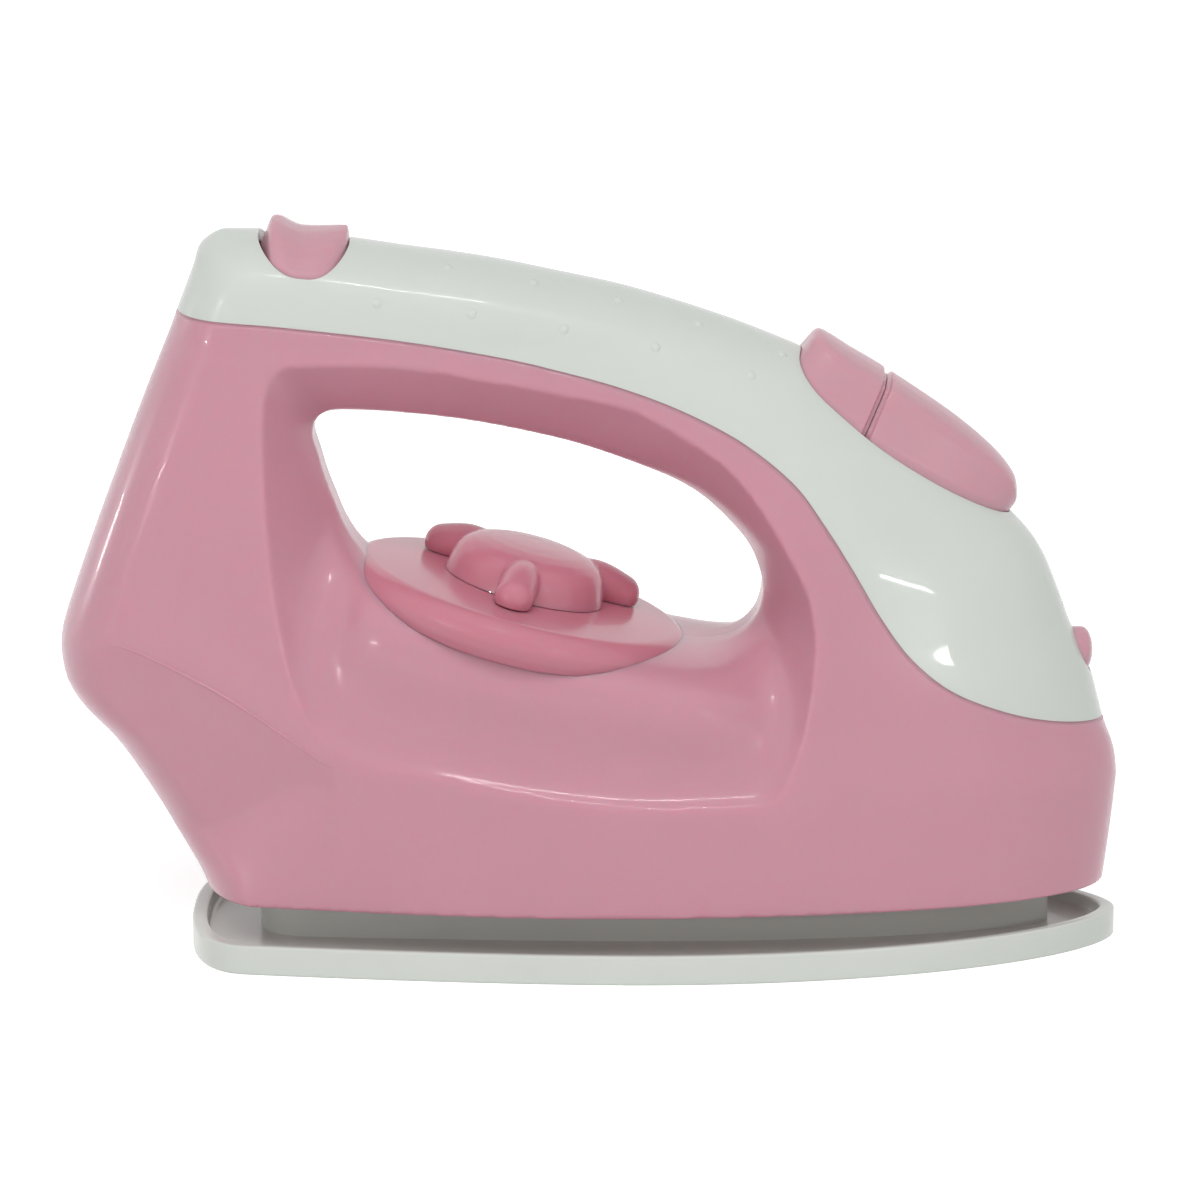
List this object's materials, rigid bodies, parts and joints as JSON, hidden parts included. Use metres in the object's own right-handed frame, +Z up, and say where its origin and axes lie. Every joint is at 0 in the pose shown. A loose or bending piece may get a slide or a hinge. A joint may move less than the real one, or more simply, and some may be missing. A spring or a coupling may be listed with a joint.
{
  "type": "toy iron",
  "caption": "Moulded toy iron: a pink two-part housing with an open handle, a white saddle cover with three sprung buttons, a dial on the deck and a rimmed white soleplate",
  "frame": {"origin": "centre of the bounding box in plan, on the table under the soleplate", "axes": "+X points to the nose, +Z up; the two housing halves part on the XZ plane, which is the plane of symmetry"},
  "size_m": [0.18, 0.068, 0.1247],
  "materials": {
    "pink_shell": "glossy moulded plastic, soft pink",
    "white_shell": "glossy moulded plastic, slightly warm white",
    "dial_pink": "glossy moulded plastic, pink",
    "button_pink": "glossy moulded plastic, pink",
    "inner_white": "plain moulded plastic, natural white",
    "steel": "zinc plated steel wire and screws"
  },
  "bodies": {
    "housing": {"right_housing": "pink_shell", "left_housing": "pink_shell", "top_cover": "white_shell", "soleplate": "white_shell", "dial_plate": "dial_pink", "front_button_frame": "inner_white", "spray_spring": "steel", "steam_spring": "steel", "thumb_button_frame": "inner_white", "thumb_spring": "steel", "spray_nozzle": "button_pink", "nozzle_clip": "inner_white", "housing_screws": "steel", "sole_screws": "steel", "frame_screws": "steel"},
    "dial": {"dial_knob": "dial_pink", "dial_washer": "steel", "dial_screw": "steel"},
    "spray": {"spray_button": "button_pink"},
    "steam": {"steam_button": "button_pink"},
    "thumb": {"thumb_button": "button_pink"}
  },
  "joints": [
    {"name": "dial_turn", "type": "hinge", "parent": "housing", "child": "dial", "pos_m": [-0.01125, 0, 0.061], "axis": [0.2588, 0, 0.9659], "continuous": true},
    {"name": "spray_press", "type": "slide", "parent": "housing", "child": "spray", "axis": [-0.6157, 0, -0.788], "range_m": [0, 0.002], "stiffness_N_per_m": 400, "deforming": ["spray_spring"]},
    {"name": "steam_press", "type": "slide", "parent": "housing", "child": "steam", "axis": [-0.6157, 0, -0.788], "range_m": [0, 0.002], "stiffness_N_per_m": 400, "deforming": ["steam_spring"]},
    {"name": "thumb_press", "type": "slide", "parent": "housing", "child": "thumb", "axis": [0, 0, -1], "range_m": [0, 0.002], "stiffness_N_per_m": 400, "deforming": ["thumb_spring"]}
  ]
}
